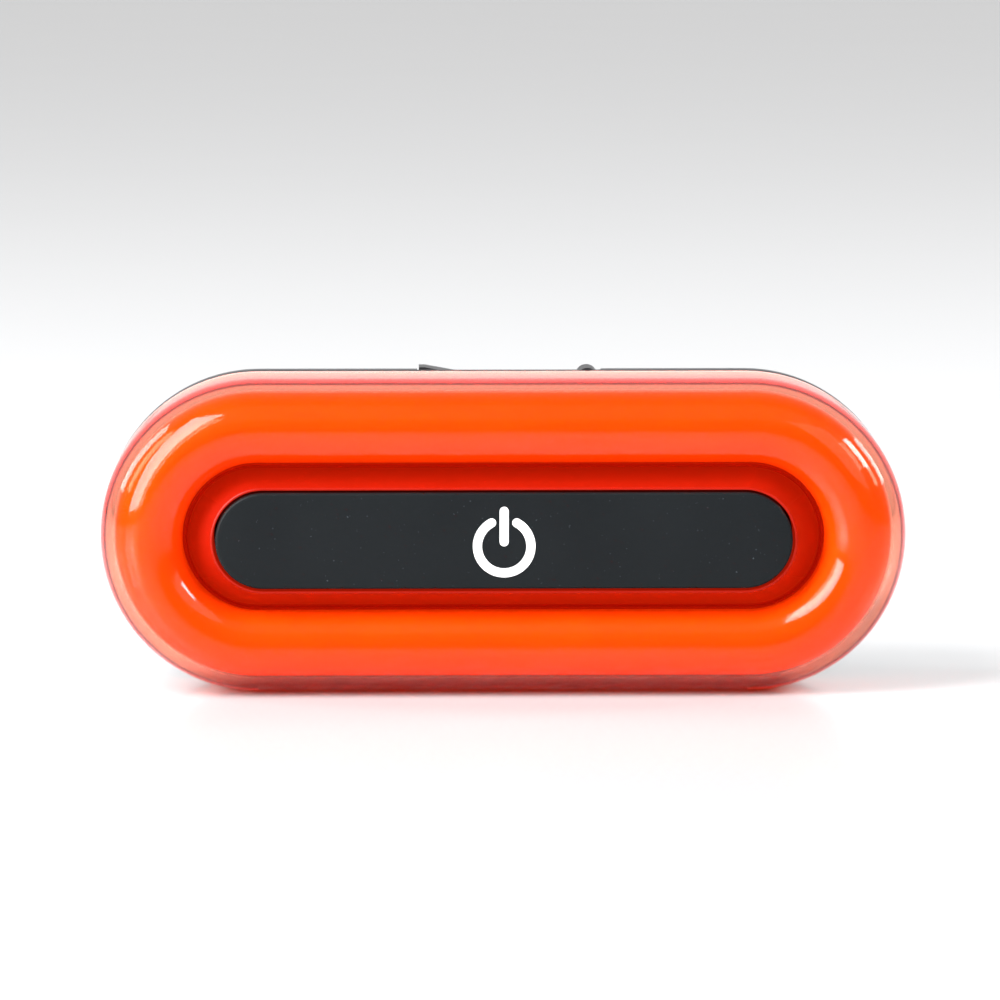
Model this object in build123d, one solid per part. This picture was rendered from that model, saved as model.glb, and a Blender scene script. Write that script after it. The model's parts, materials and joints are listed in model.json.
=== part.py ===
"""LED safety flare: a pill-shaped clip-on warning light with one long press bar.

Everything is drawn about the light's own centreline and moved to the row frame on export:
X runs along the pill, Y is depth (0 at the crest of the lens, growing towards the back) and
Z is height above the centreline. The row frame has its origin under the middle of the light,
on the surface that it stands on.
"""

from build123d import *

import os
from math import acos, atan2, cos, degrees, hypot, radians, sin

# ---- Driving dimensions, in millimetres -------------------------------------------------
HALF_RUN = 21.3  # half the straight length of the pill
LENS_R = 13.6  # outer radius of the pill, so the light is 69.8 long and 27.2 high
CREST_R = 9.4  # radius at which the ring of the lens stands highest
VALLEY_R = 6.0  # radius at which the ring meets the button surround
VALLEY_DEPTH = 4.2
SHOULDER_DEPTH = 5.6  # the outer side is straight behind this depth
WALL = 1.0  # clear lens wall
VALLEY_WALL = 0.45  # the wall thins to this at the valley
LENS_BACK = 12.0
SKIRT_BACK = 6.2  # back of the lens's inner skirt

SEAL_THICK = 0.4
SEAL_SKIRT_FRONT = 10.6
HOUSING_FRONT = LENS_BACK + SEAL_THICK
BAND_BACK = 13.6  # end of the housing's straight band
BACK = 20.5  # flat back of the housing
BACK_R = 9.2  # radius of the flat back
HOUSING_WALL = 1.5
LIP_OUTER_R = 11.9
LIP_INNER_R = 10.9

BUTTON_RUN = 20.7  # half the straight length of the button
BUTTON_R = 4.15
BUTTON_FACE = 0.7
BUTTON_FLANGE = 7.25
SURROUND_GAP = 0.2
SURROUND_BACK = 7.15
FLANGE_R = 7.6  # rim of the surround's flange, behind the lens

BOARD_FRONT, BOARD_BACK, BOARD_R = 12.0, 13.2, 10.75
LED_R = 8.85  # radius of the ring of LEDs
LED_SIZE = (3.5, 2.8, 1.9)
LED_PITCH = 6.7

SCREW_X, SCREW_Z = HALF_RUN, 8.8  # housing screws, in all four quadrants
SCREW_R = 0.95  # M2
SCREW_SEAT = 18.6
HEAD_WELL_R = 2.1

PORT_X, PORT_DEPTH = -1.0, 14.88
PORT_SIZE = (8.94, 3.26, 7.35)
PORT_MOUTH = LENS_R - 1.5
DOOR_PIVOT = (7.45, LENS_R - 0.8)  # x, z of the charging-port door's hinge, whose axis is along Y
DOOR_KNUCKLE_R = 0.95

CLIP_PIVOT = (24.9, 4.4)  # depth, z of the clip's hinge, whose axis is along X
CLIP_PIN_R = 1.0
CLIP_HALF = 8.0  # half the width of the clip's base
EAR_INNER = 6.5
ARM_HALF = 6.3
PLATE_BACK = BACK + 1.2
CLIP_SCREW = (4.6, 8.2)  # x, z
CLIP_SCREW_TIP = 17.4
PEG = (5.0, 0.6)  # x, z of the pegs that locate the clip's plate on the housing
PEG_R, PEG_LONG = 0.95, 0.8
CLIP_EAR_R = 2.1
CLIP_BACK = 29.4  # furthest point of the thumb tab

# From the centreline frame to the row frame.
TO_ROW = Pos(0, -CLIP_BACK / 2, LENS_R)


# ---- Shared shapes ----------------------------------------------------------------------
def outline(*edges):
    """A face from edges that meet end to end."""
    return make_face(list(edges))


def carry_round(section, half_run=HALF_RUN):
    """Carries a section, drawn as (depth, radius), round the pill."""
    run = extrude(Plane.YZ.offset(-half_run) * section, amount=2 * half_run)
    right = revolve(Plane.YZ.offset(half_run) * section, Axis((half_run, 0, 0), (0, 1, 0)), 180)
    left = revolve(Plane.YZ.offset(-half_run) * section, Axis((-half_run, 0, 0), (0, -1, 0)), 180)
    return run + mirror(run, about=Plane.XY) + right + left


def band(front, back, inner, outer, half_run=HALF_RUN):
    """A plain ring round the pill, or a slab when inner is 0."""
    ring = SlotCenterToCenter(2 * half_run, 2 * outer)
    if inner:
        ring -= SlotCenterToCenter(2 * half_run, 2 * inner)
    return slab(ring, front, back)


def slab(shape, front, back):
    """Extrudes a shape drawn as (x, z) from one depth to another."""
    return extrude(Plane.XZ.offset(-back) * shape, amount=back - front)


def rod(x, z, front, back, radius):
    """A cylinder along the depth."""
    return slab(Pos(x, z) * Circle(radius), front, back)


def block(x, depth, z):
    """A box from three (low, high) pairs."""
    sizes = [high - low for low, high in (x, depth, z)]
    return Pos(x[0], depth[0], z[0]) * Box(*sizes, align=Align.MIN)


def cross(side, low, high):
    """Extrudes a side view, drawn as (depth, z), along X."""
    return extrude(Plane.YZ.offset(low) * side, amount=high - low)


def quadrants(x, z):
    return [(i * x, k * z) for i in (-1, 1) for k in (-1, 1)]


def dome(inset, valley_inset, skirt_back, rim_back):
    """The ring's section at a distance below the lens surface, closed by a stepped back."""
    inner = EllipticalCenterArc(
        (VALLEY_DEPTH, CREST_R), VALLEY_DEPTH - inset, CREST_R - VALLEY_R - valley_inset, 180, arc_size=90
    )
    outer = EllipticalCenterArc(
        (SHOULDER_DEPTH, CREST_R), SHOULDER_DEPTH - inset, LENS_R - CREST_R - inset, 90, arc_size=90
    )
    rest = Polyline(
        (SHOULDER_DEPTH, LENS_R - inset),
        (rim_back, LENS_R - inset),
        (rim_back, CREST_R),
        (skirt_back, CREST_R),
        (skirt_back, VALLEY_R + valley_inset),
        (VALLEY_DEPTH, VALLEY_R + valley_inset),
    )
    return outline(inner, outer, *rest.edges())


# ---- Front ------------------------------------------------------------------------------
def front_lens():
    hollow = dome(WALL, VALLEY_WALL, SKIRT_BACK + 1, LENS_BACK + 1)
    return carry_round(dome(0, 0, SKIRT_BACK, LENS_BACK) - hollow)


GUIDE_GAP = 0.2
GUIDE_BACK = 7.2
GUIDE_STEP = 6.1  # back of the guide where the surround's flange passes behind it
GUIDE_SKIRT_BACK = 10.4
POST_R = 2.0


def light_guide():
    """Orange guide that fills the lens, with a skirt that hides the board and four screw posts."""
    section = dome(WALL + GUIDE_GAP, VALLEY_WALL + GUIDE_GAP, GUIDE_BACK, GUIDE_SKIRT_BACK)
    for front, low, high in (
        (GUIDE_BACK, CREST_R - 1, LIP_INNER_R - 0.05),
        (GUIDE_STEP, VALLEY_R, FLANGE_R + GUIDE_GAP),
    ):
        section -= Pos(front, low) * Rectangle(5, high - low, align=Align.MIN)
    guide = carry_round(section)
    for x, z in quadrants(SCREW_X, SCREW_Z):
        guide += rod(x, z, GUIDE_BACK, BOARD_FRONT - 0.05, POST_R)
    for x, z in quadrants(SCREW_X, SCREW_Z):
        guide -= rod(x, z, GUIDE_BACK + 1, BOARD_FRONT, SCREW_R + 0.03)
    return guide


SURROUND_IN = BUTTON_R + SURROUND_GAP
WIPER_R = 5.1
WIPER_SPAN = (5.0, 6.3)


def button_surround():
    """Deep red collar that slopes from the valley up to the button, with a groove for the wiper."""
    top = (BUTTON_FACE + 0.35, SURROUND_IN + 0.2)
    edge = VALLEY_R - 0.06
    section = Polyline(
        (top[0], 0),
        top,
        (VALLEY_DEPTH + 0.12, edge),
        (SKIRT_BACK, edge),
        (SKIRT_BACK, FLANGE_R),
        (SURROUND_BACK, FLANGE_R),
        (SURROUND_BACK, 0),
        close=True,
    )
    collar = carry_round(outline(*section.edges()))
    collar -= band(0, BACK, 0, SURROUND_IN, BUTTON_RUN)
    return collar - band(*WIPER_SPAN, 0, WIPER_R, BUTTON_RUN)


def button_seal():
    return band(*WIPER_SPAN, BUTTON_R + 0.05, WIPER_R, BUTTON_RUN)


BAR_SPRING_X = 16.0
SYMBOL_DEEP = 0.3
SYMBOL_R = 2.3  # mean radius of the ring of the power symbol
SYMBOL_STROKE = 0.78
SYMBOL_GAP = 28  # degrees each side of the top
SYMBOL_Z = -0.45


def power_symbol():
    """Generic power symbol: a broken ring and a stroke, let into the button's face."""
    arc = CenterArc((0, SYMBOL_Z), SYMBOL_R, 90 + SYMBOL_GAP, 360 - 2 * SYMBOL_GAP)
    ring = Pos(0, SYMBOL_Z) * (Circle(SYMBOL_R + SYMBOL_STROKE / 2) - Circle(SYMBOL_R - SYMBOL_STROKE / 2))
    reach = 2 * SYMBOL_R
    start, end = [(p.X, p.Y) for p in (arc @ 0, arc @ 1)]
    wedge = outline(
        *Polyline(
            (0, SYMBOL_Z),
            start,
            (-reach, reach),
            (reach, reach),
            end,
            close=True,
        ).edges()
    )
    broken = ring - wedge
    for tip in (start, end):
        broken += Pos(*tip) * Circle(SYMBOL_STROKE / 2)
    stroke_length = 3.42 - SYMBOL_STROKE / 2
    stroke = Pos(0, SYMBOL_Z + stroke_length / 2) * Rot(0, 0, 90) * SlotCenterToCenter(
        stroke_length - SYMBOL_STROKE / 2, SYMBOL_STROKE
    )
    back = BUTTON_FACE + SYMBOL_DEEP
    return slab(broken, BUTTON_FACE, back) + slab(stroke, BUTTON_FACE, back)


def button_cap():
    """Long press bar: a hollow cap with a chamfered face, a retaining flange and a centre boss."""
    chamfer_size = 0.25
    side_wall = 1.0
    roof = 2.0
    flange_back = BUTTON_FLANGE + 0.8
    section = outline(
        *Polyline(
            (BUTTON_FACE, 0),
            (BUTTON_FACE, BUTTON_R - chamfer_size),
            (BUTTON_FACE + chamfer_size, BUTTON_R),
            (BUTTON_FLANGE, BUTTON_R),
            (BUTTON_FLANGE, BUTTON_R + 1.1),
            (flange_back, BUTTON_R + 1.1),
            (flange_back, BUTTON_R - side_wall),
            (roof, BUTTON_R - side_wall),
            (roof, 0),
            close=True,
        ).edges()
    )
    cap = carry_round(section, BUTTON_RUN)
    cap += rod(0, 0, roof - 0.2, SWITCH_TOP - 0.05, 2.0)
    for side in (-1, 1):
        cap += rod(side * BAR_SPRING_X, 0, roof - 0.2, roof + 1.5, 1.1)
        rib_x = (side * 8 - 0.5, side * 8 + 0.5)
        cap += block(rib_x, (roof - 0.2, roof + 2.5), (-BUTTON_R + 0.5, BUTTON_R - 0.5))
    return cap - power_symbol()


def coil(radius, wire_r, height, turns, left_handed=False):
    """A coil of wire along its own Z, starting on its own X axis."""
    helix = Helix(pitch=height / turns, height=height, radius=radius, lefthand=left_handed)
    ring = Plane(origin=helix @ 0, z_dir=helix % 0) * Circle(wire_r)
    return sweep(ring, path=helix, is_frenet=True)


def bar_springs():
    """Two light springs that keep the long bar level."""
    wire_r, rest_front = 0.2, 2.0
    length = BOARD_FRONT - rest_front - 2 * wire_r - 0.1
    out = []
    for side in (-1, 1):
        place = Pos(side * BAR_SPRING_X, rest_front + wire_r + 0.05, 0) * Rot(-90, 0, 0)
        out.append(place * coil(1.55, wire_r, length, 7))
    return out


# ---- Board and what is on it ------------------------------------------------------------
TRAY_FLOOR = (11.2, 11.9)
TRAY_FRONT = 7.4
TRAY_IN = 5.5
TRAY_WALLS = ((6.95, 7.3), (10.4, 10.75))


def led_places():
    """(x, z, turn) of each LED round the ring."""
    along = [LED_PITCH * (i - 2.5) for i in range(6)]
    places = [(x, k * LED_R, 0) for k in (1, -1) for x in along]
    for side in (1, -1):
        for angle in (-50, 0, 50):
            tip = Vector(LED_R, 0).rotate(Axis.Z, angle)
            places.append((side * (HALF_RUN + tip.X), tip.Y, side * angle + 90))
    return places


def reflector_tray():
    """White tray round the LEDs: a floor with a window for each, between two walls."""
    (inner_low, inner_high), (outer_low, outer_high) = TRAY_WALLS
    floor, back = TRAY_FLOOR
    section = Polyline(
        (back, TRAY_IN),
        (floor, TRAY_IN),
        (floor, inner_low),
        (TRAY_FRONT, inner_low),
        (TRAY_FRONT, inner_high),
        (floor, inner_high),
        (floor, outer_low),
        (TRAY_FRONT, outer_low),
        (TRAY_FRONT, outer_high),
        (back, outer_high),
        close=True,
    )
    tray = carry_round(outline(*section.edges()))
    length, width, _ = LED_SIZE
    for x, z, turn in led_places():
        window = Pos(x, z) * Rot(0, 0, turn) * Rectangle(length + 0.2, width + 0.2)
        tray -= slab(window, TRAY_FLOOR[0] - 1, TRAY_FLOOR[1] + 1)
    for x, z in quadrants(SCREW_X, SCREW_Z):
        tray -= rod(x, z, TRAY_FRONT - 1, TRAY_FLOOR[1] + 1, POST_R + 0.15)
    return tray


def main_board():
    board = band(BOARD_FRONT, BOARD_BACK, 0, BOARD_R)
    for x, z in quadrants(SCREW_X, SCREW_Z):
        board -= rod(x, z, BOARD_FRONT - 1, BOARD_BACK + 1, SCREW_R + 0.25)
    return board


LED_DISH_R, LED_DISH_DEEP = 1.15, 0.6


def led_packages():
    length, width, height = LED_SIZE
    front = BOARD_FRONT - height
    out = []
    for x, z, turn in led_places():
        body = slab(Pos(x, z) * Rot(0, 0, turn) * Rectangle(length, width), front, BOARD_FRONT)
        out.append(body - rod(x, z, front, front + LED_DISH_DEEP, LED_DISH_R))
    return out


def led_resin():
    front = BOARD_FRONT - LED_SIZE[2]
    return [rod(x, z, front, front + LED_DISH_DEEP, LED_DISH_R) for x, z, _ in led_places()]


SWITCH_TOP = 7.0
SWITCH_FRONT = 8.5
SWITCH_HALF = 3.0
PLUNGER_R = 1.7


def switch_body():
    body = block((-SWITCH_HALF, SWITCH_HALF), (SWITCH_FRONT + 0.3, BOARD_FRONT), (-SWITCH_HALF, SWITCH_HALF))
    return body - rod(0, 0, SWITCH_FRONT, SWITCH_FRONT + 2.2, PLUNGER_R + 0.1)


def switch_cover():
    """Steel top plate of the tactile switch, with the tabs folded down its sides."""
    span = (-SWITCH_HALF, SWITCH_HALF)
    plate = block(span, (SWITCH_FRONT, SWITCH_FRONT + 0.3), span)
    for side in (-1, 1):
        tab_x = sorted((side * SWITCH_HALF, side * (SWITCH_HALF + 0.2)))
        plate += block(tab_x, (SWITCH_FRONT, SWITCH_FRONT + 2), (-1.2, 1.2))
    return plate - rod(0, 0, SWITCH_FRONT - 1, SWITCH_FRONT + 1, PLUNGER_R + 0.1)


def switch_plunger():
    return rod(0, 0, SWITCH_TOP, SWITCH_FRONT + 1.5, PLUNGER_R)


def switch_legs():
    """Four bent legs that are soldered to the board."""
    out = []
    for x, z in quadrants(1, 1):
        leg_x = sorted((x * (SWITCH_HALF + 0.25), x * (SWITCH_HALF + 1.2)))
        leg_z = sorted((z * 1.9, z * 2.6))
        out.append(block(leg_x, (BOARD_FRONT - 0.2, BOARD_FRONT), leg_z))
    return out


def on_board_back(x, z, length, width, height):
    """A box soldered to the back of the board, centred at x, z."""
    half_l, half_w = length / 2, width / 2
    return block((x - half_l, x + half_l), (BOARD_BACK, BOARD_BACK + height), (z - half_w, z + half_w))


def on_board_front(x, z, length, width, height):
    half_l, half_w = length / 2, width / 2
    return block((x - half_l, x + half_l), (BOARD_FRONT - height, BOARD_FRONT), (z - half_w, z + half_w))


CHIP_X, CHIP_Z = -13.0, 7.6


def controller_chip():
    """Eight-legged controller with a pin-one dimple."""
    chip = on_board_back(CHIP_X, CHIP_Z, 4.9, 3.9, 1.5)
    chip = chamfer(chip.faces().sort_by(Axis.Y)[-1].edges(), 0.15)
    return chip - rod(CHIP_X - 1.8, CHIP_Z - 1.3, BOARD_BACK + 1.4, BOARD_BACK + 2, 0.3)


def controller_legs():
    pitch = 1.27
    out = []
    for side in (-1, 1):
        for i in range(4):
            x = CHIP_X + pitch * (i - 1.5)
            z = CHIP_Z + side * (1.95 + 0.5)
            out.append(on_board_back(x, z, 0.42, 0.9, 0.25))
    return out


def charger_chip():
    return on_board_front(10.5, -1.5, 2.9, 1.7, 1.1)


def chip_resistors():
    places = [(x, z) for x in (5.6, 7.6, -5.6, -7.6) for z in (2.9, -3.6)]
    return [on_board_front(x, z, 1.6, 0.85, 0.45) for x, z in places]


def chip_capacitors():
    places = [(10.0, 2.6), (12.4, 2.6), (-10.4, 2.6), (-10.4, -2.4), (-12.6, 0.0)]
    return [on_board_front(x, z, 1.6, 0.85, 0.85) for x, z in places]


def power_inductor():
    """Wound inductor in a square case with chamfered corners."""
    case = on_board_back(-21.2, 1.0, 4.0, 4.0, 2.0)
    return chamfer(case.edges().filter_by(Axis.Y), 0.8)


# ---- Charging port ----------------------------------------------------------------------
def port_slot(length, width, low, high, x=PORT_X, depth=PORT_DEPTH):
    """A rounded slot along Z, as a charging plug has."""
    slot = SlotOverall(length, width)
    return Pos(x, depth, low) * extrude(slot, amount=high - low)


def port_shell():
    length, width, deep = PORT_SIZE
    low = PORT_MOUTH - deep
    shell = port_slot(length, width, low, PORT_MOUTH)
    return shell - port_slot(length - 0.6, width - 0.6, low + 0.5, PORT_MOUTH + 1)


def port_tongue():
    low, high = PORT_MOUTH - PORT_SIZE[2] + 0.5, PORT_MOUTH - 1.1
    half = (6.69 / 2, 0.35)
    return block(
        (PORT_X - half[0], PORT_X + half[0]),
        (PORT_DEPTH - half[1], PORT_DEPTH + half[1]),
        (low, high),
    )


DOOR_X = (-7.3, 6.9)
DOOR_DEPTH = (13.15, 16.85)
DOOR_UNDER = LENS_R - 1.2
DOOR_TOP = (LENS_R - 0.15, LENS_R - 0.5)  # at the front edge and at the back edge
KNUCKLE_DEPTH = (13.95, 15.65)
DOOR_LIP = (LENS_R + 0.15, -3.2)  # height of the thumb lip and the x at which it dies out
DOOR_SEAL_X = (-6.2, 4.2)
DOOR_SEAL_DEPTH = (13.5, 16.3)
DOOR_SEAL_TOP = LENS_R - 0.9
DOOR_WELL = (13.0, 17.0)  # depths of the recess in the housing
PIN_R = 0.4
PIN_DEPTH = (13.2, 16.35)


def port_door():
    """Door over the charging port, with a thumb lip at its free end and a knuckle at the other."""
    side = Polyline(
        (DOOR_DEPTH[0], DOOR_UNDER),
        (DOOR_DEPTH[1], DOOR_UNDER),
        (DOOR_DEPTH[1], DOOR_TOP[1]),
        (DOOR_DEPTH[0], DOOR_TOP[0]),
        close=True,
    )
    plate = cross(outline(*side.edges()), *DOOR_X)
    plate = chamfer(plate.edges().filter_by(Axis.X).sort_by(Axis.Z)[-2:], 0.2)
    lip = Polyline(
        (DOOR_X[0], DOOR_TOP[1] - 0.2),
        (DOOR_X[0], DOOR_LIP[0]),
        (DOOR_X[0] + 0.5, DOOR_LIP[0]),
        (DOOR_LIP[1], DOOR_TOP[1]),
        (DOOR_LIP[1], DOOR_TOP[1] - 0.2),
        close=True,
    )
    plate += slab(outline(*lip.edges()), DOOR_DEPTH[0] + 0.5, DOOR_DEPTH[1] - 0.5)
    x, z = DOOR_PIVOT
    for low, high in ((DOOR_DEPTH[0], KNUCKLE_DEPTH[0]), (KNUCKLE_DEPTH[1], DOOR_DEPTH[1])):
        plate -= block((x - 1.15, x + 2), (low - 0.1, high), (z - 3, z + 3))
    plate += rod(x, z, *KNUCKLE_DEPTH, DOOR_KNUCKLE_R)
    plate -= rod(x, z, *DOOR_WELL, PIN_R + 0.05)
    return plate - block(DOOR_SEAL_X, DOOR_SEAL_DEPTH, (DOOR_UNDER - 1, DOOR_SEAL_TOP))


def port_door_seal():
    """Soft plug let into the underside of the door, with a nose that enters the port."""
    pad = block(DOOR_SEAL_X, DOOR_SEAL_DEPTH, (DOOR_UNDER, DOOR_SEAL_TOP))
    return pad + port_slot(7.7, 2.0, PORT_MOUTH - 0.9, DOOR_UNDER)


def port_door_pin():
    return rod(*DOOR_PIVOT, *PIN_DEPTH, PIN_R)


# ---- Battery ----------------------------------------------------------------------------
CELL_X = (-17.8, 16.0)
CELL_DEPTH = (13.6, 18.5)
CELL_Z = (-10.0, 3.6)
GUARD_X = (16.0, 17.0)


def battery_cell():
    cell = block(CELL_X, CELL_DEPTH, CELL_Z)
    return fillet(cell.edges().filter_by(Axis.X), 1.6)


def battery_guard_board():
    """Small protection board across the end of the cell."""
    return block(GUARD_X, (CELL_DEPTH[0] + 0.5, CELL_DEPTH[1] - 0.5), (CELL_Z[0] + 1, CELL_Z[1] - 0.4))


def battery_tape():
    """Band of yellow tape over the end of the cell that holds the protection board."""
    outer = block((12.0, 16.0), (CELL_DEPTH[0] - 0.1, CELL_DEPTH[1] + 0.1), (CELL_Z[0] - 0.1, CELL_Z[1] + 0.1))
    outer = fillet(outer.edges().filter_by(Axis.X), 1.7)
    return outer - battery_cell()


LEAD_R = 0.45
PLUG_X = (9.6, 12.6)


def lead(depth, height):
    """One battery lead, from the protection board up and across to the board's plug."""
    start = (GUARD_X[0] + 0.5, depth, CELL_Z[1] - 0.4)
    route = FilletPolyline(start, (start[0], depth, height), (PLUG_X[1], depth, height), radius=2.2)
    return sweep(Plane(origin=route @ 0, z_dir=route % 0) * Circle(LEAD_R), path=route)


def battery_lead_red():
    return lead(14.7, 8.8)


def battery_lead_black():
    return lead(16.3, 7.6)


def battery_plug():
    plug = block(PLUG_X, (BOARD_BACK, 17.2), (6.4, 10.0))
    return chamfer(plug.edges().filter_by(Axis.X), 0.3)


def foam_pad():
    return block((-15, 15), (CELL_DEPTH[1] + 0.1, BACK - HOUSING_WALL), (-8.5, 2.5))


# ---- Rear housing -----------------------------------------------------------------------
def housing_seal():
    """Gasket between lens and housing, with a skirt round the housing's lip."""
    inner = LIP_OUTER_R + 0.1
    gasket = Polyline(
        (SEAL_SKIRT_FRONT, inner),
        (SEAL_SKIRT_FRONT, LENS_R - WALL - 0.1),
        (LENS_BACK, LENS_R - WALL - 0.1),
        (LENS_BACK, LENS_R - 0.05),
        (HOUSING_FRONT, LENS_R - 0.05),
        (HOUSING_FRONT, inner),
        close=True,
    )
    return carry_round(outline(*gasket.edges()))


def rear_shell():
    """Bowl with a straight band, a rounded shoulder, a flat back and a locating lip."""
    wall_in = LIP_OUTER_R
    outer = EllipticalCenterArc((BAND_BACK, BACK_R), BACK - BAND_BACK, LENS_R - BACK_R, 0, arc_size=90)
    inner = EllipticalCenterArc(
        (BAND_BACK, BACK_R), BACK - HOUSING_WALL - BAND_BACK, wall_in - BACK_R, 0, arc_size=90
    )
    front = Polyline(
        (BAND_BACK, wall_in),
        (BOARD_BACK, wall_in),
        (BOARD_BACK, LIP_INNER_R),
        (LENS_BACK - 1.1, LIP_INNER_R),
        (LENS_BACK - 1.1, LIP_OUTER_R),
        (HOUSING_FRONT, LIP_OUTER_R),
        (HOUSING_FRONT, LENS_R),
        (BAND_BACK, LENS_R),
    )
    back = Polyline((BACK, BACK_R), (BACK, 0), (BACK - HOUSING_WALL, 0), (BACK - HOUSING_WALL, BACK_R))
    return carry_round(outline(outer, inner, *front.edges(), *back.edges()))


def rear_housing():
    shell = rear_shell()
    boss_front = BOARD_BACK + 0.05
    for x, z in quadrants(SCREW_X, SCREW_Z):
        shell += rod(x, z, boss_front, BACK - 1, 2.7)
    for x, z in quadrants(SCREW_X, SCREW_Z):
        shell -= rod(x, z, boss_front - 1, BACK, SCREW_R + 0.2)
        shell -= rod(x, z, SCREW_SEAT, BACK + 1, HEAD_WELL_R)
    boss_front = CLIP_SCREW_TIP - 0.6
    for side in (-1, 1):
        x, z = side * CLIP_SCREW[0], CLIP_SCREW[1]
        shell += rod(x, z, boss_front, BACK - 1, 2.0)
        shell -= rod(x, z, boss_front + 0.2, BACK + 1, SCREW_R + 0.03)
        x, z = side * PEG[0], PEG[1]
        shell -= rod(x, z, BACK - PEG_LONG - 0.1, BACK + 1, PEG_R + 0.05)
    # Recess for the door, the knuckle's hollow and the way in to the port.
    x, z = DOOR_PIVOT
    hollow_r = DOOR_KNUCKLE_R + 0.3
    shell -= block((DOOR_X[0] - 0.15, x), DOOR_WELL, (PORT_MOUTH + 0.2, LENS_R + 2))
    shell -= rod(x, z, *DOOR_WELL, hollow_r)
    shell -= block((x, x + hollow_r), DOOR_WELL, (z, LENS_R + 2))
    shell -= port_slot(PORT_SIZE[0] + 0.3, PORT_SIZE[1] + 0.2, PORT_MOUTH - 4, PORT_MOUTH + 2)
    for low, high in (
        (DOOR_WELL[0], KNUCKLE_DEPTH[0] - 0.06),
        (KNUCKLE_DEPTH[1] + 0.06, PIN_DEPTH[1] + 0.1),
    ):
        ear = rod(x, z, low, high, DOOR_KNUCKLE_R)
        ear += block((x - DOOR_KNUCKLE_R, x + DOOR_KNUCKLE_R), (low, high), (z - 1.4, z))
        shell += ear
    return shell - port_door_pin()


def pan_screw(x, z, seat, tip, head_r, head_high):
    """Pan-head screw along the depth, head towards the back, with a cross recess."""
    screw = rod(x, z, tip, seat, SCREW_R) + rod(x, z, seat, seat + head_high, head_r)
    screw = fillet(screw.edges().sort_by(Axis.Y)[-1], head_high * 0.45)
    recess = slab(Pos(x, z) * (Rectangle(2.1, 0.5) + Rectangle(0.5, 2.1)), seat + head_high - 0.7, BACK + 9)
    return screw - recess


def housing_screws():
    return [pan_screw(x, z, SCREW_SEAT, 8.6, 1.85, 1.35) for x, z in quadrants(SCREW_X, SCREW_Z)]


# ---- Clip -------------------------------------------------------------------------------
def pivot_circle(radius):
    return Pos(*CLIP_PIVOT) * Circle(radius)


def clip_base():
    """Plate screwed to the back, with two ears that carry the hinge pin."""
    plate = slab(Pos(0, 4.5) * RectangleRounded(2 * CLIP_HALF, 11.8, 1.5), BACK, PLATE_BACK)
    z = CLIP_PIVOT[1]
    root = Polyline((BACK + 0.3, z + 4.2), (BACK + 0.3, z - 4.6))
    ear_side = make_hull([*pivot_circle(CLIP_EAR_R).edges(), *root.edges()])
    for low, high in ((-CLIP_HALF, -EAR_INNER), (EAR_INNER, CLIP_HALF)):
        plate += cross(ear_side, low, high)
    plate -= cross(pivot_circle(CLIP_PIN_R), -CLIP_HALF - 1, CLIP_HALF + 1)
    for side in (-1, 1):
        plate -= rod(side * CLIP_SCREW[0], CLIP_SCREW[1], BACK - 1, PLATE_BACK + 1, SCREW_R + 0.15)
        plate += rod(side * PEG[0], PEG[1], BACK - PEG_LONG, BACK + 0.2, PEG_R)
    return plate


def clip_screws():
    return [
        pan_screw(side * CLIP_SCREW[0], CLIP_SCREW[1], PLATE_BACK, CLIP_SCREW_TIP, 1.8, 1.2)
        for side in (-1, 1)
    ]


def clip_pin():
    return cross(pivot_circle(CLIP_PIN_R), -CLIP_HALF, CLIP_HALF)


ARM_IN, ARM_OUT = 24.9, 26.7
JAW_DEPTH = BACK + 0.1
TAB_EDGE = 11.1  # height of the thumb tab's furthest point
TAB_TIP = (27.9, 11.6)
KNUCKLE_IN = 3.9  # inner end of the arm's knuckles, with the spring between them
TEETH = 4
RIDGES = 4


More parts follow.
